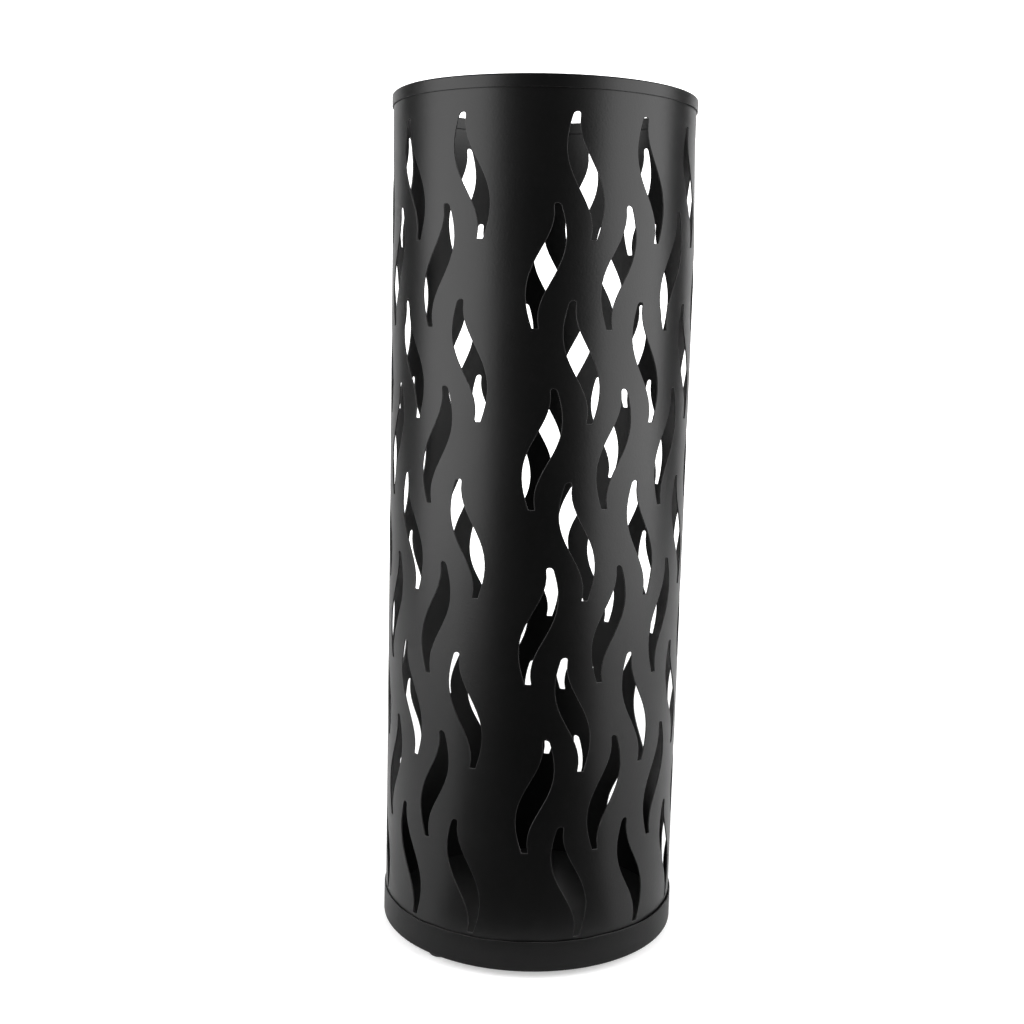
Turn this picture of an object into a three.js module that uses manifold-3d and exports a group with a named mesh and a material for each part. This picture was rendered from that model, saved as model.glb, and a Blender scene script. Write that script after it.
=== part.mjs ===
// Round umbrella stand: a rolled steel sheet with wave-shaped slots, a U-section hoop over the top
// edge, a shallow pan welded under it and three rubber feet. Millimetres, +Z up, front towards -Y.
// The origin is on the floor, at the centre of the stand.
import * as THREE from "three";
import { mergeVertices } from "three/addons/utils/BufferGeometryUtils.js";
import Module from "manifold-3d";

const wasm = await Module();
wasm.setup();

// Overall
const OVERALL_HEIGHT = 490;
const SHELL_RADIUS = 87.2;
const SHEET = 0.8;
const GAP = 0.3;
const FLATNESS = 0.01;
const FACETS = 54;

// Hoop over the top edge
const HOOP_SHEET = 0.5;
const HOOP_DROP = 6.8;
const HOOP_CROWN = 1.0;

// Base pan
const PAN_UNDERSIDE = 4.3;
const PAN_SKIRT = 17.6;
const PAN_BEND = 1.2;

// Rubber feet
const FOOT_RADIUS = 7;
const FOOT_EDGE = 0.8;
const FOOT_CIRCLE = 76.5;
const FOOT_AZIMUTHS = { foot_front_left: -40, foot_right: 80, foot_rear: 200 };
const FOOT_FACETS = 20;

// Slots, each reaching from its middle up to a tip and down to a foot. Eight columns and one blank
// make a third of the way round.
const THIRDS = 3;
const COLUMNS = 8;
const COLUMN_PITCH = 360 / (THIRDS * (COLUMNS + 1));
const FIRST_COLUMN = 2.3;
const ROW_PITCH = 95.8;
const TOP_ROW = 439.8;
const FULL_ROWS = 5;
const SHORT_COLUMN_RISE = 1.8;
const SLOT_TIP = 31.9;
const SLOT_FOOT = 32.8;
const SLOT_MIDDLE_WIDTH = 14;
const SLOT_END_WIDTH = 3.2;
const SLOT_TAPER_LENGTH = 40.8;
const SLOT_TAPER_POWER = 3;
const SLOT_SWAY = 6.6;
const SLOT_SWAY_LENGTH = 45.2;
const SLOT_STEPS = 7;
const SLOT_CUT_DEPTH = 10;

// Derived
const SHELL_INSIDE = SHELL_RADIUS - SHEET;
const SHELL_BOTTOM = PAN_UNDERSIDE + SHEET + GAP;
const SHELL_TOP = OVERALL_HEIGHT - HOOP_SHEET - GAP;
const HALF_FACET = Math.PI / FACETS;
const PHASE = THREE.MathUtils.degToRad(FIRST_COLUMN) + HALF_FACET;

// Points of a quarter circle, from one angle to another, as a bend in a profile.
function bend(x, y, radius, from, to, steps = 3) {
  return Array.from({ length: steps + 1 }, (_, i) => {
    const angle = from + ((to - from) * i) / steps;
    return new THREE.Vector2(x + radius * Math.cos(angle), y + radius * Math.sin(angle));
  });
}

// A profile of radius and height turned about the stand's own axis.
function turned(profile, facets = FACETS, phase = PHASE) {
  return new THREE.LatheGeometry(profile, facets, phase).rotateX(Math.PI / 2);
}

function solidOf(geometry) {
  const bare = geometry.clone();
  bare.deleteAttribute("normal");
  bare.deleteAttribute("uv");
  const merged = mergeVertices(bare);
  return new wasm.Manifold(
    new wasm.Mesh({
      numProp: 3,
      vertProperties: merged.attributes.position.array,
      triVerts: new Uint32Array(merged.index.array),
    }),
  );
}

function geometryOf(solid) {
  const mesh = solid.getMesh();
  const geometry = new THREE.BufferGeometry();
  geometry.setAttribute("position", new THREE.BufferAttribute(mesh.vertProperties, 3));
  geometry.setIndex(new THREE.BufferAttribute(mesh.triVerts, 1));
  geometry.computeVertexNormals();
  return geometry;
}

// Half the slot's width and the sway of its centre line, at a height from the slot's middle.
function slotHalfWidth(height) {
  const taper = Math.cos((Math.PI / 2) * (Math.abs(height) / SLOT_TAPER_LENGTH)) ** SLOT_TAPER_POWER;
  return (SLOT_END_WIDTH + (SLOT_MIDDLE_WIDTH - SLOT_END_WIDTH) * taper) / 2;
}

function slotSway(height) {
  return -SLOT_SWAY * Math.sin((Math.PI * height) / SLOT_SWAY_LENGTH);
}

// The wave outline: square at the foot, rounded at the tip. It leans the other way when lean is -1.
function slotOutline(lean) {
  const shoulder = SLOT_TIP - SLOT_END_WIDTH / 2;
  const heights = Array.from(
    { length: SLOT_STEPS + 1 },
    (_, i) => -SLOT_FOOT + ((SLOT_FOOT + shoulder) * i) / SLOT_STEPS,
  );
  const right = heights.map((h) => new THREE.Vector2(slotSway(h) + slotHalfWidth(h), h));
  const left = heights.map((h) => new THREE.Vector2(slotSway(h) - slotHalfWidth(h), h));
  const outline = [...right, new THREE.Vector2(slotSway(SLOT_TIP), SLOT_TIP), ...left.reverse()];
  return new THREE.Shape(outline.map((p) => new THREE.Vector2(p.x * lean, p.y)));
}

// One slot's cutter, standing across the sheet at an azimuth from the front and a height.
function slotCutter(shape, azimuth, height) {
  const tangent = new THREE.Vector3(Math.cos(azimuth), Math.sin(azimuth), 0);
  const outward = new THREE.Vector3(Math.sin(azimuth), -Math.cos(azimuth), 0);
  const up = new THREE.Vector3(0, 0, 1);
  const start = outward.clone().multiplyScalar(SHELL_RADIUS - SLOT_CUT_DEPTH / 2);
  const place = new THREE.Matrix4().makeBasis(tangent, up, outward);
  place.setPosition(start.x, start.y, height);
  const prism = new THREE.ExtrudeGeometry(shape, { depth: SLOT_CUT_DEPTH, bevelEnabled: false });
  return solidOf(prism.applyMatrix4(place));
}

// Columns lean in turn one way and the other. The short kind has one row fewer, and its slots sit
// a little above the middle between the rows of the full kind.
function slotCutters() {
  const shapes = [slotOutline(-1), slotOutline(1)];
  const cutters = [];
  for (let third = 0; third < THIRDS; third++) {
    for (let column = 0; column < COLUMNS; column++) {
      const kind = column % 2;
      const turns = third * (COLUMNS + 1) + column;
      const azimuth = THREE.MathUtils.degToRad(FIRST_COLUMN + turns * COLUMN_PITCH);
      const rows = kind ? FULL_ROWS : FULL_ROWS - 1;
      const top = kind ? TOP_ROW : TOP_ROW - ROW_PITCH / 2 + SHORT_COLUMN_RISE;
      for (let row = 0; row < rows; row++) {
        cutters.push(slotCutter(shapes[kind], azimuth, top - row * ROW_PITCH));
      }
    }
  }
  return wasm.Manifold.union(cutters);
}

function shell() {
  const tube = turned([
    new THREE.Vector2(SHELL_INSIDE, SHELL_BOTTOM),
    new THREE.Vector2(SHELL_RADIUS, SHELL_BOTTOM),
    new THREE.Vector2(SHELL_RADIUS, SHELL_TOP),
    new THREE.Vector2(SHELL_INSIDE, SHELL_TOP),
    new THREE.Vector2(SHELL_INSIDE, SHELL_BOTTOM),
  ]);
  const slotted = solidOf(tube).subtract(slotCutters());
  return geometryOf(slotted.asOriginal().simplify(FLATNESS));
}

function hoop() {
  const outside = SHELL_RADIUS + GAP + HOOP_SHEET;
  const inside = SHELL_INSIDE - GAP - HOOP_SHEET;
  const bottom = OVERALL_HEIGHT - HOOP_DROP;
  const crown = OVERALL_HEIGHT - HOOP_CROWN;
  const lining = OVERALL_HEIGHT - HOOP_SHEET;
  return turned([
    new THREE.Vector2(outside, bottom),
    ...bend(outside - HOOP_CROWN, crown, HOOP_CROWN, 0, Math.PI / 2),
    ...bend(inside + HOOP_CROWN, crown, HOOP_CROWN, Math.PI / 2, Math.PI),
    new THREE.Vector2(inside, bottom),
    new THREE.Vector2(inside + HOOP_SHEET, bottom),
    new THREE.Vector2(inside + HOOP_SHEET, lining),
    new THREE.Vector2(outside - HOOP_SHEET, lining),
    new THREE.Vector2(outside - HOOP_SHEET, bottom),
    new THREE.Vector2(outside, bottom),
  ]);
}

function pan() {
  const outside = SHELL_RADIUS + GAP + SHEET;
  const top = PAN_UNDERSIDE + PAN_SKIRT;
  const turnIn = outside - PAN_BEND;
  const turnUp = PAN_UNDERSIDE + PAN_BEND;
  return turned([
    new THREE.Vector2(0, PAN_UNDERSIDE),
    ...bend(turnIn, turnUp, PAN_BEND, -Math.PI / 2, 0),
    new THREE.Vector2(outside, top),
    new THREE.Vector2(outside - SHEET, top),
    ...bend(turnIn, turnUp, PAN_BEND - SHEET, 0, -Math.PI / 2, 2),
    new THREE.Vector2(0, PAN_UNDERSIDE + SHEET),
  ]);
}

function foot(azimuth) {
  const top = PAN_UNDERSIDE - GAP;
  const pad = turned(
    [
      new THREE.Vector2(0, 0),
      ...bend(FOOT_RADIUS - FOOT_EDGE, FOOT_EDGE, FOOT_EDGE, -Math.PI / 2, 0, 2),
      new THREE.Vector2(FOOT_RADIUS, top),
      new THREE.Vector2(0, top),
    ],
    FOOT_FACETS,
    0,
  );
  const turn = THREE.MathUtils.degToRad(azimuth);
  return pad.translate(FOOT_CIRCLE * Math.sin(turn), -FOOT_CIRCLE * Math.cos(turn), 0);
}

function coated() {
  return new THREE.MeshStandardMaterial({ color: 0x17171a, roughness: 0.42, metalness: 0.25 });
}

function rubber() {
  return new THREE.MeshStandardMaterial({ color: 0x0a0a0a, roughness: 0.85, metalness: 0 });
}

const stand = new THREE.Group();
stand.name = "umbrella_stand";

function add(name, geometry, material) {
  const mesh = new THREE.Mesh(geometry, material);
  mesh.name = name;
  stand.add(mesh);
}

add("shell", shell(), coated());
add("rim_hoop", hoop(), coated());
add("base_pan", pan(), coated());
for (const [name, azimuth] of Object.entries(FOOT_AZIMUTHS)) {
  add(name, foot(azimuth), rubber());
}

export default stand;
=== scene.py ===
"""Umbrella stand: a rolled sheet with wave-shaped slots, a folded hoop over its top edge, a shallow
base pan and three rubber feet, in satin black powder coat.

Azimuths run from the front (-Y) towards +X. Lengths are metres.
"""

import math

import bpy
import numpy as np
from bpy.props import FloatProperty, FloatVectorProperty, IntProperty, PointerProperty
from mathutils import Matrix, Vector


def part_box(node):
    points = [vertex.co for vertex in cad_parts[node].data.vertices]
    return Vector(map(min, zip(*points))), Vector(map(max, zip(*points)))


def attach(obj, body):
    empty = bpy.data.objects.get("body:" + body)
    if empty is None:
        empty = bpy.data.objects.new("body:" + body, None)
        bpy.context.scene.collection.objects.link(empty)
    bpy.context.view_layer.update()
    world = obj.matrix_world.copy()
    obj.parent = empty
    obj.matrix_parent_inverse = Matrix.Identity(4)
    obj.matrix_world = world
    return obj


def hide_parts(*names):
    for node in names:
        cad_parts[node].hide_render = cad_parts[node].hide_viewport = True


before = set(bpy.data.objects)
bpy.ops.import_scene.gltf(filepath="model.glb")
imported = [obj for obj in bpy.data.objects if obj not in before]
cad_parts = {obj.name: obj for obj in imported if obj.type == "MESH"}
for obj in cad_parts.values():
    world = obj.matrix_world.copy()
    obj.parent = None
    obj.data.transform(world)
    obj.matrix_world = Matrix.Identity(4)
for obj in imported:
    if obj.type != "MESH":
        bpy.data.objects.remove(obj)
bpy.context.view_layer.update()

bl_info = {
    "name": "Wave-slot umbrella stand",
    "version": (1, 0, 0),
    "blender": (4, 5, 0),
    "location": "View3D > Sidebar > Umbrella Stand",
    "description": "Builds the finished umbrella stand and a plain studio round it",
    "category": "Add Mesh",
}

BODY = "root"
FOOT_NODES = ("foot_front_left", "foot_right", "foot_rear")
TAU = 2 * math.pi

# The slots: eight columns and one blank make a third of the way round
THIRDS = 3
COLUMNS = 8

# Steps along the parts of a surface
SIDE_STEPS = 16
END_STEPS = 6
BLANK_STEPS = 6
TURN_STEPS = 180
FOOT_STEPS = 48
BEND_STEPS = 4
STAGE_STEPS = 96
CARD_STEPS = 32
COVE_STEPS = 24
FLOOR_RINGS = 20

# Points that differ by less than this, in metres, are one
WELD = 1e-7

# Rings round a slot: shares of the way from the near ring out to the cell's border, the near ring's
# distance from the cut in edge radii, tilts across a rounded edge in degrees, and the mask of thin
# coat and painted highlight over the cut
RING_SHARES = (1.0, 0.62, 0.3)
NEAR_RING = 3.0
EDGE_TILTS = (0, 45, 90)
# Edge mask over the cut: thin coat and a painted highlight along the cut edge
EDGE_WEAR_AND_HIGHLIGHT = (0.6, 1, 1, 1, 1, 0.6)

# The hoop's butt joint: its finer steps, how many joint widths they reach either way, the stretch
# that even steps keep clear of, and how fast the groove falls off
JOINT_STEPS = 16
JOINT_REACH = 2
JOINT_CLEAR = 2.6
JOINT_FALLOFF = 4

# How the pan's lip wanders, in and out and up and down: share, waves round the stand, phase. Then
# how far down the skirt this reaches, in metres, and the least gap as a share of the gap's swing.
IN_OUT = ((1, 1, -0.2), (0.35, 7, 0.9), (0.35, 19, 2.1))
UP_DOWN = ((0.5, 3, 0.4), (0.35, 11, 1.3), (0.3, 27, 0))
WANDER_HEIGHT = 0.006
LEAST_GAP = 0.1

# The foot: its taper towards the top, the flat share of its hollow and the hollow's two roundings
FOOT_TAPER = 0.97
HOLLOW_FLAT = 0.7
HOLLOW_BENDS = (0.0004, 0.0003)

# Grain of the materials, in metres, and the range over which it moves their tone
PEEL_SIZE = 0.0012
DRIFT_SIZE = 0.05
BREAK_SIZE = 0.006
PATCH_SIZE = 0.02
COAT_TONES = (0.85, 1.15)
RUBBER_TONES = (0.8, 1.6)

# Paper: distances from the middle over which its painted glow grows, and over which a painted
# lift seen only directly takes it to white, its mottle, and the floor's innermost radius as a share
# of its outermost one
GLOW_REACH = (0.6, 2.0)
PAINTED_LIFT_REACH = (0.5, 1.1)
MOTTLE_SCALE = 4.0
MOTTLE_TONE = 0.995
FLOOR_HOLE = 0.0005

# Lights, cards and camera: name, azimuth in degrees and width of a side box, name and tone of a
# card, and the camera's nearest and furthest sight
SIDE_BOXES = (("left_box", -62, 1.22), ("right_box", 73, 1.32))
BOX_DISTANCE = 1.15
BOX_MIDDLE = 0.72
BOX_TALL = 1.4
PANEL_HEIGHT = 2.2
PANEL_SIDE = 2.2
# The cards are dark sheets seen only in reflections: painted dark reflections in the stand
CARD_TONES = (("near_card", 0.04), ("far_card", 0.01))
CARD_HALF_ANGLE = math.radians(50)
CARD_HEIGHT = 0.002
CLIP = (0.02, 20)

# Where the rolled tube isn't round: azimuth and spread in degrees, swell outwards in metres at the
# third of four heights, and the shares of it at the second and at the fourth. It is nought at the
# first and below it, and above the fourth it stays as it is there.
SWELLS = (
    (-106, 24, -0.0028, 0.26, 1.2),
    (-124, 16, -0.0015, 0.9, 0.8),
    (-42, 15, 0.0015, 0.26, 1.0),
    (86, 20, 0.0022, 0.26, 0.25),
)
SWELL_HEIGHTS = (0.022, 0.12, 0.4, 0.46)


def millimetres(name, description, value, high=1000.0):
    """A length property whose default and upper limit are given in millimetres."""
    return FloatProperty(
        name=name,
        description=description,
        default=value / 1000,
        min=0,
        max=high / 1000,
        precision=5,
        unit="LENGTH",
    )


def share(name, description, value, high=1.0):
    """A plain number between nought and a limit, drawn as a slider."""
    return FloatProperty(
        name=name,
        description=description,
        default=value,
        min=0,
        max=high,
        precision=4,
        subtype="FACTOR",
    )


def angle(name, description, degrees):
    """An angle property whose default is given in degrees."""
    return FloatProperty(
        name=name, description=description, default=math.radians(degrees), subtype="ANGLE"
    )


def colour(name, description, value):
    """A colour property, in linear red, green and blue."""
    return FloatVectorProperty(
        name=name, description=description, default=value, size=3, min=0, max=1, subtype="COLOR"
    )


class UMBRELLA_PG_shell(bpy.types.PropertyGroup):
    """Sizes of the slotted sheet."""

    radius: millimetres("Radius", "Outside radius of the rolled sheet", 87.2)
    sheet: millimetres("Sheet", "Thickness of the sheet", 0.8)
    edge: millimetres("Cut edge", "Rounding that the coat gives a cut edge", 0.16)
    first_column: angle("First column", "Azimuth of the first slot column", 2.3)
    row_pitch: millimetres("Row pitch", "Height from one slot to the next in a column", 95.8)
    top_row: millimetres("Top row", "Height of the middle of the highest slots", 439.8)
    rise: millimetres("Rise", "Short columns' slots above the middle between full rows", 1.8)
    full_rows: IntProperty(name="Rows", description="Slots in a full column", default=5, min=1)
    tip: millimetres("Tip", "From a slot's middle up to its tip", 31.9)
    foot: millimetres("Foot", "From a slot's middle down to its foot", 32.8)
    middle_width: millimetres("Middle width", "Width across the middle of a slot", 14.0)
    end_width: millimetres("End width", "Width that the ends taper to", 3.2)
    taper_length: millimetres("Taper length", "Height over which the taper runs out", 40.8)
    sway: millimetres("Sway", "Sideways swing of the slot's centre line", 6.6)
    sway_length: millimetres("Sway length", "Height of half a swing", 45.2)
    bulge: millimetres("Bulge", "Height from the middle at which a slot reaches furthest", 14.9)
    border_sway: millimetres("Border sway", "Swing of the line between two columns", 6.0)


class UMBRELLA_PG_hoop(bpy.types.PropertyGroup):
    """Sizes of the folded hoop over the top edge."""

    outside: millimetres("Outside radius", "Radius of the hoop's outer face", 88.0)
    inside: millimetres("Inside radius", "Radius of the hoop's inner face", 85.6)
    sheet: millimetres("Sheet", "Thickness of the strip", 0.5)
    crown: millimetres("Crown", "Radius of the fold along the top", 1.1)
    hem: millimetres("Hem", "Rounding of the strip's edges", 0.2)
    joint: angle("Joint", "Azimuth of the butt joint", 229.0)
    joint_width: millimetres("Joint width", "Width of the butt joint's groove", 0.35)
    joint_depth: millimetres("Joint depth", "Depth of the butt joint's groove", 0.3)


class UMBRELLA_PG_pan(bpy.types.PropertyGroup):
    """Sizes of the base pan."""

    outside: millimetres("Outside radius", "Radius of the skirt", 88.3)
    sheet: millimetres("Sheet", "Thickness of the sheet", 0.8)
    bend: millimetres("Bend", "Radius of the turn from floor to skirt", 1.3)
    lip: millimetres("Lip", "Rounding of the skirt's top edge", 0.3)
    gap: millimetres("Gap", "Gap between the shell and the skirt", 0.3)
    gap_swing: millimetres("Gap swing", "How far the gap to the shell varies round it", 0.3)
    wave: millimetres("Wave", "How far the skirt's top edge wanders up and down", 0.32)


class UMBRELLA_PG_foot(bpy.types.PropertyGroup):
    """Sizes of a rubber foot."""

    radius: millimetres("Radius", "Radius of the pad", 7.0)
    edge: millimetres("Edge", "Rounding of the pad's lower edge", 1.3)
    shoulder: millimetres("Shoulder", "Rounding of the pad's upper edge", 0.4)
    dimple: millimetres("Dimple", "Radius of the hollow under the pad", 2.2)
    dimple_depth: millimetres("Dimple depth", "Depth of the hollow under the pad", 0.7)


class UMBRELLA_PG_finish(bpy.types.PropertyGroup):
    """Colours and gloss."""

    coat: colour("Coat", "Base colour of the powder coat", (0.0016, 0.0016, 0.00165))
    coat_roughness: share("Coat roughness", "Roughness of the powder coat", 0.34)
    coat_specular: share("Coat specular", "Specular level of the powder coat", 0.3)
    # Thin coat and a painted highlight on cut edges, hoop hems and the pan's lip
    thin_coat_and_highlight_tone: share("Edge tone", "Brightness of the thin coat on a cut edge", 0.024)
    # Paler patches on faces that look up in the pan
    upward_pale: share("Dust", "Brightness of dust that settles in the pan", 0.02)
    rubber: colour("Rubber", "Base colour of the feet", (0.006, 0.006, 0.006))
    rubber_roughness: share("Rubber roughness", "Roughness of the feet", 0.7)


class UMBRELLA_PG_studio(bpy.types.PropertyGroup):
    """Floor, lights and camera."""

    floor_tone: share("Floor tone", "Brightness of the floor and walls", 0.8)
    floor_radius: millimetres("Floor radius", "Radius of the flat floor", 1900, high=9000)
    behind_right: angle("Behind right", "Azimuth from which the wall shows in reflections", 137)
    behind_left: angle("Behind left", "Azimuth up to which the wall shows in reflections", 235)
    cove: millimetres("Cove", "Radius of the turn from floor to wall", 700, high=9000)
    wall_height: millimetres("Wall height", "Height of the wall", 2600, high=9000)
    side_radiance: share("Side lights", "Radiance of the two side boxes", 4.2, high=50)
    top_radiance: share("Top light", "Radiance of the panel above", 0.8, high=50)
    # Painted glow: emission on the paper far from the middle
    wall_glow: share("Wall glow", "Extra brightness of the paper far from the middle", 0.35, high=5)
    fill: share("Fill", "Brightness of the surroundings", 0.03, high=5)
    # Painted dark reflections: the cards are seen only in reflections
    flag_radius: millimetres("Flag radius", "From the axis to the near card on the floor", 130)
    flag_fade: millimetres("Flag fade", "From the axis to the far, darker card", 330)
    # Painted lift: emission on the floor seen directly, lightening the shade round the stand
    floor_painted_lift: share("Floor lift", "Extra brightness of the floor seen round the stand", 0.35)
    camera_distance: millimetres("Camera distance", "From the axis to the camera", 788.4, high=9000)
    camera_height: millimetres("Camera height", "From the floor to the camera", 364.5, high=9000)
    yaw: angle("Yaw", "Turn of the camera to the right", -1.286)
    pitch: angle("Pitch", "Tilt of the camera upwards", -8.027)
    roll: angle("Roll", "Turn of the camera about its own axis", 1.002)
    lens: FloatProperty(
        name="Lens", description="Focal length", default=46.76, min=1, unit="CAMERA"
    )
    shift_x: FloatProperty(name="Shift X", description="Sideways lens shift", default=0.0071)
    shift_y: FloatProperty(name="Shift Y", description="Upward lens shift", default=-0.0031)


# Surfaces


def grid_quads(rows, columns, round_rows=False, round_columns=False):
    """The quads of a grid of points stored row by row, as a table of four indices. A round
    direction joins its last line back to its first."""
    r = np.arange(rows if round_rows else rows - 1)[:, None]
    c = np.arange(columns if round_columns else columns - 1)[None, :]
    r2 = (r + 1) % rows
    c2 = (c + 1) % columns
    corners = [r * columns + c, r * columns + c2, r2 * columns + c2, r2 * columns + c]
    return np.stack(np.broadcast_arrays(*corners), -1).reshape(-1, 4)


def facing_out(points, faces):
    """The faces, turned round if they point inwards. Then the volume inside them, added up from
    the tetrahedra that each makes with the origin, is negative."""
    total = 0.0
    for block in faces:
        corners = points[block]
        for k in range(1, block.shape[1] - 1):
            total += (corners[:, 0] * np.cross(corners[:, k], corners[:, k + 1])).sum()
    return [block[:, ::-1] for block in faces] if total < 0 else faces


def rounded_profile(corners, radii, steps):
    """A profile of radius and height whose corners are turned into arcs, with its normals. Each
    arc runs from the normal of the side before the corner to that of the side after it, and its
    middle lies inside the corner, back from both sides by the corner's own radius. The profile
    closes on itself and runs with its material on the left."""
    corners = np.asarray(corners, float)
    radii = np.asarray(radii, float)[:, None, None]
    before = np.roll(corners, 1, axis=0)
    after = np.roll(corners, -1, axis=0)
    into = (corners - before) / np.linalg.norm(corners - before, axis=1)[:, None]
    out = (after - corners) / np.linalg.norm(after - corners, axis=1)[:, None]
    start = np.stack([into[:, 1], -into[:, 0]], -1)
    turn = np.arctan2(into[:, 0] * out[:, 1] - into[:, 1] * out[:, 0], (into * out).sum(1))
    part = np.linspace(0, 1, steps + 1)[None, :] * turn[:, None]
    cosine, sine = np.cos(part), np.sin(part)
    x, y = start[:, :1], start[:, 1:]
    normal = np.stack([x * cosine - y * sine, x * sine + y * cosine], -1)
    bend = np.sign(turn)[:, None, None]
    reach = (radii * np.tan(np.abs(turn) / 2)[:, None, None]) * into[:, None, :]
    middle = corners[:, None, :] - reach - bend * radii * start[:, None, :]
    return middle + bend * radii * normal, normal


def turned_points(profile, normals, azimuths, centre=(0.0, 0.0)):
    """A profile of radius and height carried round a vertical axis: a point at radius r, height z
    and azimuth a goes to (r sin a, -r cos a, z). The profile may differ at each azimuth."""
    given = (profile[..., 0], profile[..., 1], normals[..., 0], normals[..., 1])
    radius, height, out, up, azimuth = np.broadcast_arrays(*given, azimuths)
    sine, cosine = np.sin(azimuth), -np.cos(azimuth)
    points = np.stack([radius * sine + centre[0], radius * cosine + centre[1], height], -1)
    return points.reshape(-1, 3), np.stack([out * sine, out * cosine, up], -1).reshape(-1, 3)


def put_piece(name, points, normals, faces, edge, material, slot, replaced):
    """Makes the object, hands it its normals and its mask of thin coat and painted highlight, if it
    has one, puts it under the body and hides the parts that it replaces."""
    faces = facing_out(points, faces)
    mesh = bpy.data.meshes.new(name)
    mesh.from_pydata(points.tolist(), [], [face for block in faces for face in block.tolist()])
    # The edge mask marks thin coat and a painted highlight
    if edge is not None:
        layer = mesh.attributes.new("edge", "FLOAT", "POINT")
        layer.data.foreach_set("value", np.ascontiguousarray(edge, dtype=np.float32))
    mesh.shade_smooth()
    length = np.linalg.norm(normals, axis=1)[:, None]
    mesh.normals_split_custom_set_from_vertices((normals / length).tolist())
    mesh.materials.append(material)
    piece = bpy.data.objects.new(name, mesh)
    bpy.context.scene.collection.objects.link(piece)
    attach(piece, BODY)
    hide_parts(*replaced)


# The slotted sheet


def out_of_round(azimuth, height):
    """How far the rolled tube strays outwards from a true circle: a sum of Gaussian swells in
    azimuth, each measured the short way round and scaled by straight lines between heights."""
    stray = 0.0
    for middle, spread, amount, low, top in SWELLS:
        apart = (azimuth - math.radians(middle) + math.pi) % TAU - math.pi
        grown = np.interp(height, SWELL_HEIGHTS, (0, low, 1, top))
        stray = stray + amount * grown * np.exp(-((apart / math.radians(spread)) ** 2) / 2)
    return stray


def slot_sway(size, height):
    """Sideways place of a slot's centre line at a height: a sine wave, falling to the right."""
    return -size.sway * np.sin(math.pi * height / size.sway_length)


def slot_half_width(size, height):
    """Half a slot's width at a height: the end width, and a cubed cosine hump on top of it."""
    hump = np.cos(math.pi / 2 * np.clip(np.abs(height) / size.taper_length, 0, 1)) ** 3
    return (size.end_width + (size.middle_width - size.end_width) * hump) / 2


def slot_outline(size):
    """Points round a slot that leans back, from the right of its foot, up the right side, over the
    rounded tip, down the left side and across the squared foot. Both ends are superellipses that
    sit on the side lines: a circle at the tip, a near-square at the foot."""
    tip, foot = size.end_width / 2, size.end_width / 4
    low, high = foot - size.foot, size.tip - tip
    side = low + (high - low) * np.linspace(0, 1, SIDE_STEPS + 1)[:-1]
    back = high + (low - high) * np.linspace(0, 1, SIDE_STEPS + 1)[:-1]
    over = np.linspace(0, math.pi, END_STEPS + 1)[:-1]
    cosine, sine = np.cos(over), np.sin(over)
    tip_height = high + tip * sine
    foot_height = low - foot * np.abs(sine) ** (1 / 3)
    tip_across = slot_half_width(size, high) * cosine
    foot_across = -slot_half_width(size, low) * np.sign(cosine) * np.abs(cosine) ** (1 / 3)
    height = np.concatenate([side, tip_height, back, foot_height])
    across = np.concatenate(
        [slot_half_width(size, side), tip_across, -slot_half_width(size, back), foot_across]
    )
    return np.stack([slot_sway(size, height) + across, height], -1)


def border(size, height, after_back):
    """Sideways place, from the middle between two columns, of the line that parts them: a cosine
    that keeps clear of the slots on both sides. After a column that leans back it swings right
    where that column's slots do, and after the other kind where theirs do."""
    shift = -size.bulge if after_back else size.row_pitch / 2 + size.bulge
    return size.border_sway * np.cos(TAU * (height - size.top_row - shift) / size.row_pitch)


def cell_border(size, half_pitch):
    """Points round the cell of a slot that leans back, matched one to one with its outline."""
    half = size.row_pitch / 2
    up = np.linspace(-half, half, SIDE_STEPS + 1)
    right = half_pitch + border(size, up + size.top_row, True)
    left = -half_pitch + border(size, up + size.top_row, False)
    across = np.linspace(0, 1, END_STEPS + 1)[:-1]
    top = right[-1] + (left[-1] - right[-1]) * across
    bottom = left[0] + (right[0] - left[0]) * across
    return np.concatenate(
        [
            np.stack([right[:-1], up[:-1]], -1),
            np.stack([top, np.full(END_STEPS, half)], -1),
            np.stack([left[:0:-1], up[:0:-1]], -1),
            np.stack([bottom, np.full(END_STEPS, -half)], -1),
        ]
    )


def cell_rings(size, half_pitch, rise):
    """A cell as rings round its slot: from the cell's border in to the cut on the outer face, over
    the cut edge, and back out to the border on the inner face. Ring by ring it gives the place on
    the sheet, the depth below the outer face, the tilt of the normal from outwards (0) through
    the slot's middle (a quarter turn) to inwards (a half turn), and how much of the ring takes the
    edge's thin coat and painted highlight.
    Last comes the direction away from the slot at each point of its outline."""
    outline, border_line = slot_outline(size) + [0, rise], cell_border(size, half_pitch)
    along = np.roll(outline, -1, axis=0) - np.roll(outline, 1, axis=0)
    along /= np.linalg.norm(along, axis=1)[:, None]
    away = np.stack([along[:, 1], -along[:, 0]], -1)
    edge, sheet = size.edge, size.sheet
    near = outline + away * NEAR_RING * edge
    face = near + (border_line - near) * np.array(RING_SHARES)[:, None, None]
    tilt = np.radians(EDGE_TILTS)
    lip = outline + away * (edge * (1 - np.sin(tilt)))[:, None, None]
    place = np.concatenate([face, near[None], lip, lip[::-1], near[None], face[::-1]])
    lip_depth = edge * (1 - np.cos(tilt))
    flat = np.zeros(len(RING_SHARES) + 1)
    depth = np.concatenate([flat, lip_depth, sheet - lip_depth[::-1], flat + sheet])
    tilts = np.concatenate([flat, tilt, math.pi - tilt[::-1], flat + math.pi])
    worn_and_highlit = np.concatenate([flat, EDGE_WEAR_AND_HIGHLIGHT, flat])
    return place, depth, tilts, worn_and_highlit, away


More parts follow.
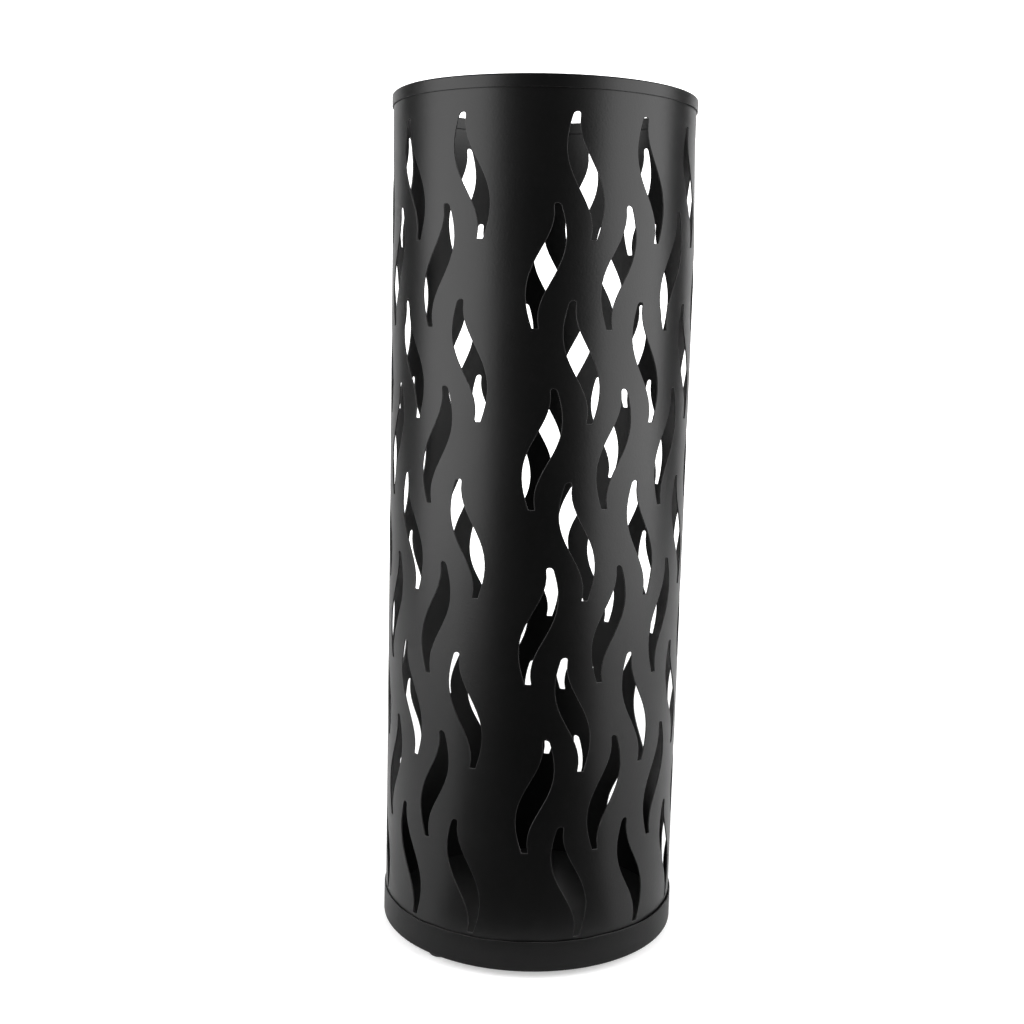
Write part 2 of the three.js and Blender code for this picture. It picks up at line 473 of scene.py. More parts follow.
def on_shell(size, azimuth, height, depth, tilt=0.0, across=0.0, up=0.0):
    """Wraps points of the flat sheet round the stand. A depth goes inwards from the outer face, and
    the normal leans from outwards by the tilt, towards the slot side given by across and up. The
    normals are those of a true circle even where the tube strays from it."""
    sine, cosine = np.sin(azimuth), np.cos(azimuth)
    radius = size.radius - depth + out_of_round(azimuth, height)
    points = np.stack([radius * sine, -radius * cosine, height], -1)
    outwards, sideways = np.cos(tilt), -np.sin(tilt)
    parts = [
        outwards * sine + sideways * across * cosine,
        -outwards * cosine + sideways * across * sine,
        sideways * up,
    ]
    return points, np.stack(np.broadcast_arrays(*parts, height)[:3], -1)


def slot_cells(size, half_pitch, azimuths, heights, lean):
    """All the cells of one lean, as one table of points: the rings of a cell, moved to each slot's
    azimuth and height, and mirrored from side to side when they lean forwards."""
    rise = size.rise if lean < 0 else 0.0
    place, depth, tilts, worn_and_highlit, away = cell_rings(size, half_pitch, rise)
    rings, count = place.shape[:2]
    azimuth = azimuths[:, None, None] + lean * place[None, ..., 0] / size.radius
    height = heights[:, None, None] + place[None, ..., 1]
    depth, tilts, worn_and_highlit = depth[:, None], tilts[:, None], worn_and_highlit[:, None]
    across, up = lean * away[:, 0], away[:, 1]
    points, normals = on_shell(size, azimuth, height, depth, tilts, across, up)
    mask = np.broadcast_to(worn_and_highlit, azimuth.shape)
    quads = grid_quads(rings, count, round_columns=True)
    if lean < 0:
        quads = quads[:, ::-1]
    offsets = np.arange(len(azimuths)) * rings * count
    all_quads = (quads[None] + offsets[:, None, None]).reshape(-1, 4)
    return points.reshape(-1, 3), normals.reshape(-1, 3), mask.reshape(-1), all_quads


def plain_patch(size, left, right, heights, steps):
    """Both faces of a plain stretch between two lines of azimuth that change with height, as a grid
    that divides the way from one to the other into equal steps."""
    part = np.linspace(0, 1, steps + 1)[None, :]
    azimuth = left[:, None] + (right - left)[:, None] * part
    height = np.broadcast_to(heights[:, None], azimuth.shape)
    quads = grid_quads(len(heights), steps + 1)
    outer, outward = on_shell(size, azimuth, height, 0.0)
    inner, inward = on_shell(size, azimuth, height, size.sheet, math.pi)
    points = np.concatenate([outer.reshape(-1, 3), inner.reshape(-1, 3)])
    normals = np.concatenate([outward.reshape(-1, 3), inward.reshape(-1, 3)])
    both = np.concatenate([quads, quads[:, ::-1] + azimuth.size])
    return points, normals, np.zeros(len(points)), both


def end_strip(size, azimuths, height, upwards):
    """The sheet's edge at one end: a ring of quads from the outer face to the inner one."""
    level = np.full(len(azimuths), height)
    sides = [on_shell(size, azimuths, level, depth)[0] for depth in (0.0, size.sheet)]
    points = np.concatenate(sides)
    quads = grid_quads(2, len(azimuths), round_columns=True)
    normals = np.broadcast_to([0.0, 0.0, 1.0 if upwards else -1.0], points.shape)
    return points, normals, np.zeros(len(points)), quads if upwards else quads[:, ::-1]


def shell_patches(size):
    """Every patch of the sheet: the slot cells of both leans, the plain half cells above and below
    the short columns, the blank columns, the bands to both ends and the two end strips."""
    low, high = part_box("shell")
    pitch = TAU / (THIRDS * (COLUMNS + 1))
    half_pitch = size.radius * pitch / 2
    half_row = size.row_pitch / 2
    order = np.arange(THIRDS * (COLUMNS + 1)).reshape(THIRDS, COLUMNS + 1)
    middle = size.first_column + pitch * order
    forward, back, blank = middle[:, 0:COLUMNS:2], middle[:, 1:COLUMNS:2], middle[:, COLUMNS]
    full = size.top_row - size.row_pitch * np.arange(size.full_rows)
    short = full[:-1] - half_row
    top, bottom = full[0] + half_row, full[-1] - half_row
    level = np.linspace(bottom, top, SIDE_STEPS * size.full_rows + 1)

    def line(columns, side, after_back, heights):
        return columns[:, None] + (
            side * half_pitch + border(size, heights, after_back)[None, :]
        ) / size.radius

    patches = []
    for columns, rows, lean in ((back.ravel(), full, 1), (forward.ravel(), short, -1)):
        azimuths = np.repeat(columns, len(rows))
        heights = np.tile(rows, len(columns))
        patches.append(slot_cells(size, half_pitch, azimuths, heights, lean))
    for ends in (level[: SIDE_STEPS // 2 + 1], level[-SIDE_STEPS // 2 - 1 :]):
        lefts = line(forward.ravel(), -1, True, ends)
        rights = line(forward.ravel(), 1, False, ends)
        for left, right in zip(lefts, rights):
            patches.append(plain_patch(size, left, right, ends, END_STEPS))
    lefts, rights = line(blank, -1, True, level), line(blank, 1, True, level)
    for left, right in zip(lefts, rights):
        patches.append(plain_patch(size, left, right, level, BLANK_STEPS))
    for edge, end in ((bottom, low.z), (top, high.z)):
        rim = rim_azimuths(size, middle, edge)
        span = np.array(sorted((edge, end)))
        closed = np.append(rim, rim[0] + TAU)
        left = np.broadcast_to(closed[:-1], (2, len(rim)))
        right = np.broadcast_to(closed[1:], (2, len(rim)))
        patches.extend(
            plain_patch(size, left[:, k], right[:, k], span, 1) for k in range(len(rim))
        )
        patches.append(end_strip(size, rim, end, end == high.z))
    return patches


def rim_azimuths(size, middle, height):
    """The azimuths at which the patches that end at a height have their points, once round."""
    after_back = np.broadcast_to(np.arange(COLUMNS + 1) % 2 == 0, middle.shape)
    swing = np.where(after_back, border(size, height, True), border(size, height, False))
    left = (middle - TAU / middle.size / 2 + swing / size.radius).ravel()
    width = np.diff(np.append(left, left[0] + TAU))
    part = np.arange(END_STEPS) / END_STEPS
    return (left[:, None] + width[:, None] * part[None, :]).ravel()


def shell_mesh(size):
    """The slotted sheet as one mesh: its patches laid end to end, with their faces renumbered to
    match, and the points that they share joined."""
    points, normals, edges, quads = zip(*shell_patches(size))
    starts = np.cumsum([0, *map(len, points[:-1])])
    moved = np.concatenate([faces + start for faces, start in zip(quads, starts)])
    points = np.concatenate(points)
    keys = np.round(points / WELD).astype(np.int64)
    _, first, inverse = np.unique(keys, axis=0, return_index=True, return_inverse=True)
    faces = [inverse.reshape(-1)[moved]]
    return points[first], np.concatenate(normals)[first], faces, np.concatenate(edges)[first]


# Turned pieces


def joint_azimuths(centre, width):
    """Azimuths once round, evenly spread, with a cluster across a narrow groove."""
    even = np.linspace(0, TAU, TURN_STEPS, endpoint=False)
    near = np.linspace(-JOINT_REACH, JOINT_REACH, JOINT_STEPS + 1) * width
    apart = np.abs((even - centre + math.pi) % TAU - math.pi)
    kept = even[apart > JOINT_CLEAR * width]
    return np.sort(np.concatenate([kept, (centre + near) % TAU]))


def hoop_mesh(size):
    """The hoop: an upside-down U of strip with rounded edges, carried round the axis. Across its
    butt joint the outer faces dip by a Gaussian groove along their own normals. It strays from a
    true circle as the shell does, and its mask, of thin coat and painted highlight, marks the faces
    that look down."""
    low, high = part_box("rim_hoop")
    strip = size.sheet
    corners = [
        (size.outside, low.z),
        (size.outside, high.z),
        (size.inside, high.z),
        (size.inside, low.z),
        (size.inside + strip, low.z),
        (size.inside + strip, high.z - strip),
        (size.outside - strip, high.z - strip),
        (size.outside - strip, low.z),
    ]
    radii = [size.hem, size.crown, size.crown] + 5 * [size.hem]
    profile, normal = rounded_profile(corners, radii, BEND_STEPS)
    shown = np.zeros((len(corners), BEND_STEPS + 1))
    shown[1:3] = shown[0, -1] = shown[3, 0] = 1
    profile, normal = profile.reshape(-1, 1, 2), normal.reshape(-1, 1, 2)
    width = size.joint_width / size.outside
    azimuths = joint_azimuths(size.joint, width)
    groove = np.exp(-(((azimuths - size.joint) / width) ** 2) * JOINT_FALLOFF)[None, :, None]
    profile = profile - normal * groove * size.joint_depth * shown.reshape(-1, 1, 1)
    normal = np.broadcast_to(normal, profile.shape)
    stray = out_of_round(azimuths[None, :], profile[..., 1])
    profile = np.stack([profile[..., 0] + stray, profile[..., 1]], -1)
    points, normals = turned_points(profile, normal, azimuths)
    faces = [grid_quads(profile.shape[0], len(azimuths), round_rows=True, round_columns=True)]
    # Mask of thin coat and painted highlight on the faces that look down
    hem = np.clip(-normal[..., 1], 0, 1)
    return points, normals, faces, hem.reshape(-1)


def axis_profile(corners, radii):
    """A rounded profile from axis to axis. Its first corner faces down and its last one up, and
    both stay single points."""
    profile, normal = rounded_profile(corners, radii, BEND_STEPS)
    first, last = np.asarray(corners, float)[[0, -1]].reshape(2, 1, 1, 2)
    down = np.array([[[0.0, -1.0]]])
    return (
        np.concatenate([first, profile[1:-1].reshape(-1, 1, 2), last]),
        np.concatenate([down, normal[1:-1].reshape(-1, 1, 2), -down]),
    )


def closed_turning(profile, normal, azimuths, centre=(0.0, 0.0)):
    """A turned solid whose profile starts and ends on the axis: rings of quads, with a fan of
    triangles to one point at each pole."""
    rings, count = profile.shape[0] - 2, len(azimuths)
    points, normals = turned_points(profile[1:-1], normal[1:-1], azimuths, centre)
    pole = np.array([[*centre, float(profile[i, 0, 1])] for i in (0, -1)])
    first, last = rings * count, rings * count + 1
    here = np.arange(count)
    there = (here + 1) % count
    ring = (rings - 1) * count
    foot = np.stack([np.full(count, first), there, here], -1)
    head = np.stack([np.full(count, last), ring + here, ring + there], -1)
    faces = [grid_quads(rings, count, round_columns=True), foot, head]
    ends = np.array([[0.0, 0.0, np.sign(normal[i, 0, 1])] for i in (0, -1)])
    return np.concatenate([points, pole]), np.concatenate([normals, ends]), faces


def wander(waves, turn):
    """A sum of sines of the azimuth."""
    return sum(part * np.sin(count * turn + phase) for part, count, phase in waves)


def pan_mesh(size):
    """The pan: a flat floor turned up into a skirt. The skirt's lip wanders up and down and in and
    out round the stand, so the gap to the shell is uneven. Its mask, of thin coat and painted
    highlight, marks the lip's top."""
    low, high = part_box("base_pan")
    sheet, outside = size.sheet, size.outside
    corners = [
        (0.0, low.z),
        (outside, low.z),
        (outside, high.z),
        (outside - sheet, high.z),
        (outside - sheet, low.z + sheet),
        (0.0, low.z + sheet),
    ]
    radii = [0.0, size.bend, size.lip, size.lip, size.bend - sheet, 0.0]
    profile, normal = axis_profile(corners, radii)
    turn = np.linspace(0, TAU, 2 * TURN_STEPS, endpoint=False)
    lip = np.clip((profile[..., 1] - high.z + WANDER_HEIGHT) / WANDER_HEIGHT, 0, 1) ** 2
    in_out = size.gap_swing * wander(IN_OUT, turn)
    in_out = np.maximum(in_out, LEAST_GAP * size.gap_swing - size.gap)
    up_down = size.wave * wander(UP_DOWN, turn)
    moved = np.stack(
        [profile[..., 0] + lip * in_out[None, :], profile[..., 1] + lip * up_down[None, :]], -1
    )
    normal = np.broadcast_to(normal, moved.shape)
    points, normals, faces = closed_turning(moved, normal, turn)
    # Mask of thin coat and painted highlight on the lip's top
    top = np.clip(normal[1:-1, :, 1], 0, 1) * (profile[1:-1, :, 1] > high.z - 2 * size.lip)
    return points, normals, faces, np.concatenate([top.reshape(-1), [0, 0]])


def foot_mesh(size, node):
    """A rubber foot: a low pad with a rounded lower edge and a small hollow under its middle,
    turned about its own axis."""
    low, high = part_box(node)
    centre = ((low.x + high.x) / 2, (low.y + high.y) / 2)
    corners = [
        (0.0, low.z + size.dimple_depth),
        (size.dimple * HOLLOW_FLAT, low.z + size.dimple_depth),
        (size.dimple, low.z),
        (size.radius, low.z),
        (size.radius * FOOT_TAPER, high.z),
        (0.0, high.z),
    ]
    profile, normal = axis_profile(corners, [0.0, *HOLLOW_BENDS, size.edge, size.shoulder, 0.0])
    azimuths = np.linspace(0, TAU, FOOT_STEPS, endpoint=False)
    return closed_turning(profile, normal, azimuths, centre)


# Materials


def grey(tone):
    """A colour with its alpha."""
    return (tone, tone, tone, 1)


def new_material(name):
    """A material, its node tree and its shader."""
    material = bpy.data.materials.new(name)
    material.use_nodes = True
    return material, material.node_tree, material.node_tree.nodes["Principled BSDF"]


def feed(tree, socket, value):
    """Gives an input a number or colour, or joins another node's output to it."""
    if isinstance(value, bpy.types.NodeSocket):
        tree.links.new(value, socket)
    else:
        socket.default_value = value


def math_node(tree, operation, a, b, clamp=False):
    """A math node fed by sockets or numbers."""
    node = tree.nodes.new("ShaderNodeMath")
    node.operation = operation
    node.use_clamp = clamp
    feed(tree, node.inputs[0], a)
    feed(tree, node.inputs[1], b)
    return node.outputs[0]


def map_range(tree, value, given=(0.0, 1.0), wanted=(0.0, 1.0), kind="LINEAR"):
    """Carries a value from one range to another and holds it there."""
    node = tree.nodes.new("ShaderNodeMapRange")
    node.interpolation_type = kind
    node.inputs["From Min"].default_value, node.inputs["From Max"].default_value = given
    node.inputs["To Min"].default_value, node.inputs["To Max"].default_value = wanted
    tree.links.new(value, node.inputs["Value"])
    return node.outputs[0]


def mix_colours(tree, factor, a, b, blend="MIX"):
    """A blend of two colours, each a socket or a value."""
    node = tree.nodes.new("ShaderNodeMix")
    node.data_type = "RGBA"
    node.blend_type = blend
    feed(tree, node.inputs["Factor"], factor)
    feed(tree, node.inputs[6], a)
    feed(tree, node.inputs[7], b)
    return node.outputs[2]


def noise_node(tree, scale, detail=2.0, roughness=0.5):
    """A noise over the object's own space, at a scale given as a socket or a number."""
    node = tree.nodes.new("ShaderNodeTexNoise")
    node.inputs["Detail"].default_value = detail
    node.inputs["Roughness"].default_value = roughness
    tree.links.new(tree.nodes.new("ShaderNodeTexCoord").outputs["Object"], node.inputs["Vector"])
    feed(tree, node.inputs["Scale"], scale)
    return node


def new_group(name, sizes, outputs):
    """A shader node group that takes in named sizes and gives out named numbers. With it come its
    output node and the noise scale that goes with each size."""
    tree = bpy.data.node_groups.new(name, "ShaderNodeTree")
    for socket, value in sizes:
        made = tree.interface.new_socket(socket, in_out="INPUT", socket_type="NodeSocketFloat")
        made.default_value = value
    for socket in outputs:
        tree.interface.new_socket(socket, in_out="OUTPUT", socket_type="NodeSocketFloat")
    given, result = tree.nodes.new("NodeGroupInput"), tree.nodes.new("NodeGroupOutput")
    scales = [math_node(tree, "DIVIDE", 1.0, given.outputs[size]) for size, _ in sizes]
    return tree, result, scales


def coat_grain_group(name):
    """Powder coat up close: a fine orange peel for the bump, and slow drifts of gloss and tone."""
    sizes = [("Peel size", PEEL_SIZE), ("Drift size", DRIFT_SIZE)]
    outputs = ["Height", "Gloss drift", "Tone drift"]
    tree, result, (peel_scale, drift_scale) = new_group(name, sizes, outputs)
    peel = noise_node(tree, peel_scale, roughness=0.55)
    drift = noise_node(tree, drift_scale, detail=3.0, roughness=0.6)
    tree.links.new(peel.outputs[0], result.inputs["Height"])
    tree.links.new(drift.outputs[0], result.inputs["Gloss drift"])
    separate = tree.nodes.new("ShaderNodeSeparateColor")
    tree.links.new(drift.outputs["Color"], separate.inputs[0])
    tree.links.new(separate.outputs[2], result.inputs["Tone drift"])
    return tree


def rubbed_edge_and_highlight_group(name):
    """Where the coat is thin and a painted highlight lies along the edge: the piece's own edge
    mask, broken up by a small noise.
    """
    tree, result, (scale,) = new_group(name, [("Break-up size", BREAK_SIZE)], ["Mask"])
    edge = tree.nodes.new("ShaderNodeAttribute")
    edge.attribute_name = "edge"
    noise = noise_node(tree, scale, detail=3.0)
    spread = map_range(tree, noise.outputs[0], given=(0.3, 0.7), wanted=(0.45, 1.0))
    mask = math_node(tree, "MULTIPLY", edge.outputs["Fac"], spread, clamp=True)
    tree.links.new(mask, result.inputs["Mask"])
    return tree


def upward_pale_patches_group(name):
    """Paler tone on faces that look up, gathered in soft patches."""
    tree, result, (scale,) = new_group(name, [("Patch size", PATCH_SIZE)], ["Mask"])
    normal = tree.nodes.new("ShaderNodeSeparateXYZ")
    tree.links.new(tree.nodes.new("ShaderNodeTexCoord").outputs["Normal"], normal.inputs[0])
    upwards = math_node(tree, "MAXIMUM", normal.outputs[2], 0.0)
    facing = math_node(tree, "POWER", upwards, 3.0)
    noise = noise_node(tree, scale, detail=5.0)
    mask = math_node(tree, "MULTIPLY", facing, noise.outputs[0], clamp=True)
    tree.links.new(mask, result.inputs["Mask"])
    return tree


def place_group(tree, name, maker, **sizes):
    """A shared node group, made on first use, with some of its sizes set."""
    node = tree.nodes.new("ShaderNodeGroup")
    node.node_tree = bpy.data.node_groups.get(name) or maker(name)
    for key, value in sizes.items():
        node.inputs[key.replace("_", " ")].default_value = value
    return node


def roughen(tree, shader, grain, middle, swing, depth, given=(0.0, 1.0)):
    """Lets the grain swing a shader's roughness about a middle, and bump it to a depth."""
    wanted = (middle - swing, middle + swing)
    gloss = map_range(tree, grain.outputs["Gloss drift"], given, wanted)
    tree.links.new(gloss, shader.inputs["Roughness"])
    bump = tree.nodes.new("ShaderNodeBump")
    bump.inputs["Distance"].default_value = depth
    tree.links.new(grain.outputs["Height"], bump.inputs["Height"])
    tree.links.new(bump.outputs[0], shader.inputs["Normal"])


def powder_coat(
    name, finish, tone=1.0, roughness=0.0, sheen=1.0, peel_size=PEEL_SIZE, paler_upward=False
):
    """Satin black powder coat. Its grain, its rubbed edges with their painted highlight and its
    paler patches on faces that look up come from the shared groups.
    """
    found = bpy.data.materials.get(name)
    if found:
        return found
    material, tree, shader = new_material(name)
    grain = place_group(tree, "Powder coat grain", coat_grain_group, Peel_size=peel_size)
    rubbed_and_highlit = place_group(tree, "Rubbed edge and painted highlight", rubbed_edge_and_highlight_group)

    drift = map_range(tree, grain.outputs["Tone drift"], wanted=COAT_TONES)
    coat = (*[tone * c for c in finish.coat], 1)
    base = mix_colours(tree, 1.0, coat, drift, "MULTIPLY")
    # Painted highlight: the edge mask lightens the coat at cut edges, hoop hems and the pan's lip
    base = mix_colours(tree, rubbed_and_highlit.outputs["Mask"], base, grey(finish.thin_coat_and_highlight_tone))
    # Paler on faces that look up, in soft patches
    if paler_upward:
        upward_pale = place_group(tree, "Upward pale patches", upward_pale_patches_group)
        base = mix_colours(tree, upward_pale.outputs["Mask"], base, grey(finish.upward_pale))
    tree.links.new(base, shader.inputs["Base Color"])

    shader.inputs["Specular IOR Level"].default_value = finish.coat_specular * sheen
    middle = finish.coat_roughness + roughness
    roughen(tree, shader, grain, middle, swing=0.025, depth=0.00005, given=(0.25, 0.75))
    return material


def foot_rubber(finish):
    """Matt black moulded rubber with a fine sandy grain and a drift of dust."""
    found = bpy.data.materials.get("foot_rubber_black")
    if found:
        return found
    material, tree, shader = new_material("foot_rubber_black")
    shader.inputs["Specular IOR Level"].default_value = 0.35
    grain = place_group(
        tree, "Powder coat grain", coat_grain_group, Peel_size=0.0006, Drift_size=0.006
    )
    dark, pale = [(*[part * c for c in finish.rubber], 1) for part in RUBBER_TONES]
    tint = mix_colours(tree, grain.outputs["Tone drift"], dark, pale)
    tree.links.new(tint, shader.inputs["Base Color"])
    roughen(tree, shader, grain, finish.rubber_roughness, swing=0.08, depth=0.00008)
    return material


def studio_paper(tone, glow, painted_lift):
    """Matt pale paper with a barely visible mottle and a painted glow, by emission, that grows away
    from the middle. Seen directly, a painted lift takes it to plain white and lightens the shade
    round the stand."""
    material, tree, shader = new_material("studio_paper")
    shader.inputs["Roughness"].default_value = 0.9
    shader.inputs["Specular IOR Level"].default_value = 0.1
    noise = noise_node(tree, MOTTLE_SCALE)
    mottle = mix_colours(tree, noise.outputs[0], grey(tone * MOTTLE_TONE), grey(tone))
    tree.links.new(mottle, shader.inputs["Base Color"])
    reach = tree.nodes.new("ShaderNodeVectorMath")
    reach.operation = "LENGTH"
    tree.links.new(tree.nodes.new("ShaderNodeTexCoord").outputs["Object"], reach.inputs[0])
    distance = reach.outputs["Value"]
    # Painted glow far from the middle, and a painted lift towards white that only the camera sees
    painted_glow = map_range(tree, distance, GLOW_REACH, (0.0, glow), "SMOOTHSTEP")
    painted_lift_to_white = map_range(tree, distance, PAINTED_LIFT_REACH, (painted_lift, 1.0), "SMOOTHSTEP")
    direct = tree.nodes.new("ShaderNodeLightPath").outputs["Is Camera Ray"]
    seen = math_node(tree, "MULTIPLY", painted_lift_to_white, direct)
    total = math_node(tree, "ADD", painted_glow, seen)
    tree.links.new(total, shader.inputs["Emission Strength"])
    material.cycles.emission_sampling = "NONE"
    return material


# Operators


def put_coated(name, made, material, node):
    """Puts in place a coated piece that was made with an edge mask of thin coat and painted
    highlight.
    """
    put_piece(name, *made, material, "black_coat", [node])


class UMBRELLA_OT_shell(bpy.types.Operator):
    """Roll the slotted sheet"""

    bl_idname = "umbrella.shell"
    bl_label = "Slotted shell"

    def execute(self, context):
        stand = context.scene.umbrella_stand
        material = powder_coat("powder_coat_shell", stand.finish)
        put_coated("slotted_shell", shell_mesh(stand.shell), material, "shell")
        return {"FINISHED"}


class UMBRELLA_OT_hoop(bpy.types.Operator):
    """Fold the hoop over the top edge"""

    bl_idname = "umbrella.hoop"
    bl_label = "Rim hoop"

    def execute(self, context):
        stand = context.scene.umbrella_stand
        material = powder_coat("powder_coat_hoop", stand.finish, peel_size=0.0009)
        put_coated("folded_hoop", hoop_mesh(stand.hoop), material, "rim_hoop")
        return {"FINISHED"}


class UMBRELLA_OT_pan(bpy.types.Operator):
    """Press the base pan"""

    bl_idname = "umbrella.pan"
    bl_label = "Base pan"

    def execute(self, context):
        stand = context.scene.umbrella_stand
        material = powder_coat(
            "powder_coat_pan", stand.finish, tone=1.3, roughness=0.06, sheen=0.6, paler_upward=True
        )
        put_coated("pressed_pan", pan_mesh(stand.pan), material, "base_pan")
        return {"FINISHED"}


class UMBRELLA_OT_feet(bpy.types.Operator):
    """Mould the three rubber feet"""

    bl_idname = "umbrella.feet"
    bl_label = "Rubber feet"

    def execute(self, context):
        stand = context.scene.umbrella_stand
        material = foot_rubber(stand.finish)
        for node in FOOT_NODES:
            made = foot_mesh(stand.foot, node)
            put_piece("rubber_" + node, *made, None, material, "foot_rubber", [node])
        return {"FINISHED"}


def turned_surface(name, profile, azimuths, material):
    """An object made of a profile of radius and height carried round the axis."""
    profile = np.asarray(profile)[:, None, :]
    points, _ = turned_points(profile, profile, azimuths)
    mesh = bpy.data.meshes.new(name)
    mesh.from_pydata(points.tolist(), [], grid_quads(len(profile), len(azimuths)).tolist())
    mesh.shade_smooth()
    mesh.materials.append(material)
    surface = bpy.data.objects.new(name, mesh)
    bpy.context.scene.collection.objects.link(surface)
    return surface


def studio_shell(name, profile, material, seen_in_gloss, start=0.0, end=TAU):
    """A stretch of the studio's paper, from one azimuth to another."""
    turn = np.linspace(start, end, STAGE_STEPS + 1)
    stage = turned_surface(name, profile, turn, material)
    stage.visible_glossy = seen_in_gloss


def dark_card(name, near, far, tone):
    """A painted dark reflection: a dark card on the floor in front, from one radius to another,
    seen only in reflections.
    """
    material, _, shader = new_material(name)
    shader.inputs["Base Color"].default_value = grey(tone)
    shader.inputs["Specular IOR Level"].default_value = 0.0
    turn = np.linspace(-CARD_HALF_ANGLE, CARD_HALF_ANGLE, CARD_STEPS + 1)
    card = turned_surface(name, [[near, CARD_HEIGHT], [far, CARD_HEIGHT]], turn, material)
    card.visible_camera = card.visible_diffuse = card.visible_shadow = False


def soft_box(name, place, width, tall, radiance, aim):
    """A rectangular light, placed by azimuth, distance and height, that faces the axis at the
    height to aim for. Its power is radiance times area times pi."""
    azimuth, distance, height = place
    light = bpy.data.lights.new(name, "AREA")
    light.shape = "RECTANGLE"
    light.size, light.size_y = width, tall
    light.energy = radiance * width * tall * math.pi
    lamp = bpy.data.objects.new(name, light)
    bpy.context.scene.collection.objects.link(lamp)
    lamp.location = (distance * math.sin(azimuth), -distance * math.cos(azimuth), height)
    lamp.rotation_euler = (lamp.location - Vector((0, 0, aim))).to_track_quat("Z", "Y").to_euler()
    lamp.visible_camera = False
    return lamp


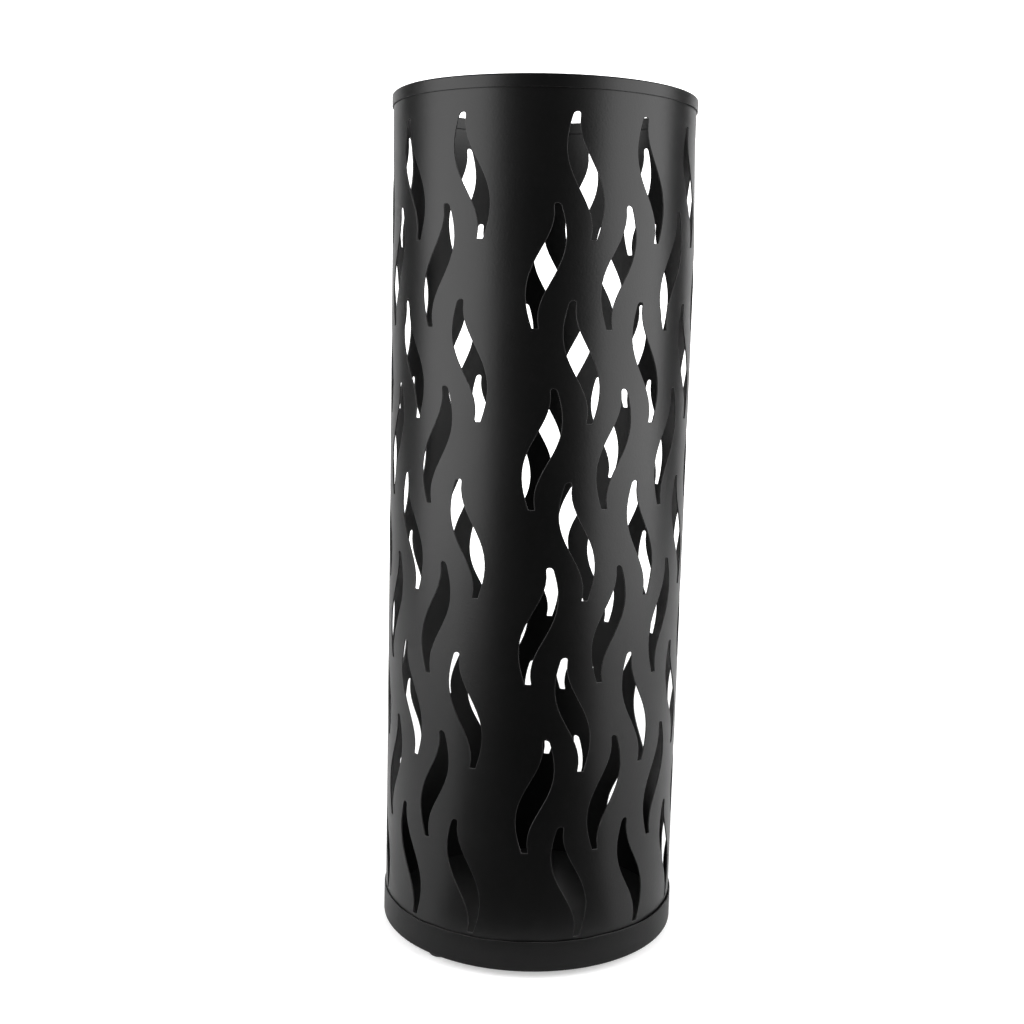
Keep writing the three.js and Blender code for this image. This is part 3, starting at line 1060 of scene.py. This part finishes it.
class UMBRELLA_OT_studio(bpy.types.Operator):
    """Set up the pale floor, the soft lights and the camera"""

    bl_idname = "umbrella.studio"
    bl_label = "Studio"

    def execute(self, context):
        scene, studio = context.scene, context.scene.umbrella_stand.studio
        paper = studio_paper(studio.floor_tone, studio.wall_glow, studio.floor_painted_lift)
        bend = np.linspace(0, math.pi / 2, COVE_STEPS + 1)
        cove = np.stack(
            [studio.floor_radius + studio.cove * np.sin(bend), studio.cove * (1 - np.cos(bend))], -1
        )
        rings = np.linspace(FLOOR_HOLE, 1.0, FLOOR_RINGS) * studio.floor_radius
        floor = np.stack([rings, np.zeros(FLOOR_RINGS)], -1)
        wall = np.array([[studio.floor_radius + studio.cove, studio.wall_height]])
        studio_shell("studio_floor", floor, paper, True)
        start, end = studio.behind_right, studio.behind_left
        around = np.concatenate([cove, wall])
        studio_shell("studio_wall_behind", around, paper, True, start, end)
        studio_shell("studio_wall_in_front", around, paper, False, end - TAU, start)

        reaches = (studio.flag_radius, studio.flag_fade, studio.floor_radius)
        for (name, tone), near, far in zip(CARD_TONES, reaches, reaches[1:]):
            dark_card(name, near, far, tone)
        for name, azimuth, width in SIDE_BOXES:
            place = (math.radians(azimuth), BOX_DISTANCE, BOX_MIDDLE)
            soft_box(name, place, width, BOX_TALL, studio.side_radiance, BOX_MIDDLE)
        place = (0.0, 0.0, PANEL_HEIGHT)
        panel = soft_box("top_panel", place, PANEL_SIDE, PANEL_SIDE, studio.top_radiance, 0.0)
        panel.visible_glossy = False
        world = bpy.data.worlds.new("surroundings")
        world.use_nodes = True
        sky = world.node_tree.nodes["Background"]
        sky.inputs["Color"].default_value = grey(1)
        sky.inputs["Strength"].default_value = studio.fill
        scene.world = world
        scene.view_settings.view_transform = "Standard"

        camera = bpy.data.objects.new("studio_camera", bpy.data.cameras.new("studio_camera"))
        scene.collection.objects.link(camera)
        camera.data.lens = studio.lens
        camera.data.shift_x, camera.data.shift_y = studio.shift_x, studio.shift_y
        camera.data.clip_start, camera.data.clip_end = CLIP
        sine, cosine, flat = math.sin(studio.yaw), math.cos(studio.yaw), math.cos(studio.pitch)
        ahead = Vector((sine * flat, cosine * flat, math.sin(studio.pitch)))
        level = Vector((cosine, -sine, 0))
        upright = level.cross(ahead)
        right = math.cos(studio.roll) * level + math.sin(studio.roll) * upright
        up = right.cross(ahead)
        axes = Matrix((right, up, -ahead)).transposed().to_4x4()
        spot = Vector((0, -studio.camera_distance, studio.camera_height))
        camera.matrix_world = Matrix.Translation(spot) @ axes
        scene.camera = camera
        return {"FINISHED"}


class UMBRELLA_PG_stand(bpy.types.PropertyGroup):
    """Everything a user may change about the stand and its studio."""

    shell: PointerProperty(type=UMBRELLA_PG_shell)
    hoop: PointerProperty(type=UMBRELLA_PG_hoop)
    pan: PointerProperty(type=UMBRELLA_PG_pan)
    foot: PointerProperty(type=UMBRELLA_PG_foot)
    finish: PointerProperty(type=UMBRELLA_PG_finish)
    studio: PointerProperty(type=UMBRELLA_PG_studio)


MAKERS = (
    UMBRELLA_OT_shell,
    UMBRELLA_OT_hoop,
    UMBRELLA_OT_pan,
    UMBRELLA_OT_feet,
    UMBRELLA_OT_studio,
)


class UMBRELLA_PT_panel(bpy.types.Panel):
    """Lists the pieces and their sizes"""

    bl_idname = "UMBRELLA_PT_panel"
    bl_label = "Umbrella Stand"
    bl_space_type = "VIEW_3D"
    bl_region_type = "UI"
    bl_category = "Umbrella Stand"

    def draw(self, context):
        stand = context.scene.umbrella_stand
        for maker in MAKERS:
            self.layout.operator(maker.bl_idname)
        for name in stand.__annotations__:
            group, box = getattr(stand, name), self.layout.box()
            for key in group.__annotations__:
                box.prop(group, key)


CLASSES = (
    UMBRELLA_PG_shell,
    UMBRELLA_PG_hoop,
    UMBRELLA_PG_pan,
    UMBRELLA_PG_foot,
    UMBRELLA_PG_finish,
    UMBRELLA_PG_studio,
    UMBRELLA_PG_stand,
    *MAKERS,
    UMBRELLA_PT_panel,
)


def register():
    for cls in CLASSES:
        bpy.utils.register_class(cls)
    bpy.types.Scene.umbrella_stand = PointerProperty(type=UMBRELLA_PG_stand)


def unregister():
    del bpy.types.Scene.umbrella_stand
    for cls in reversed(CLASSES):
        bpy.utils.unregister_class(cls)


def main():
    register()
    bpy.ops.umbrella.shell()
    bpy.ops.umbrella.hoop()
    bpy.ops.umbrella.pan()
    bpy.ops.umbrella.feet()
    bpy.ops.umbrella.studio()


if __name__ == "__main__":
    main()
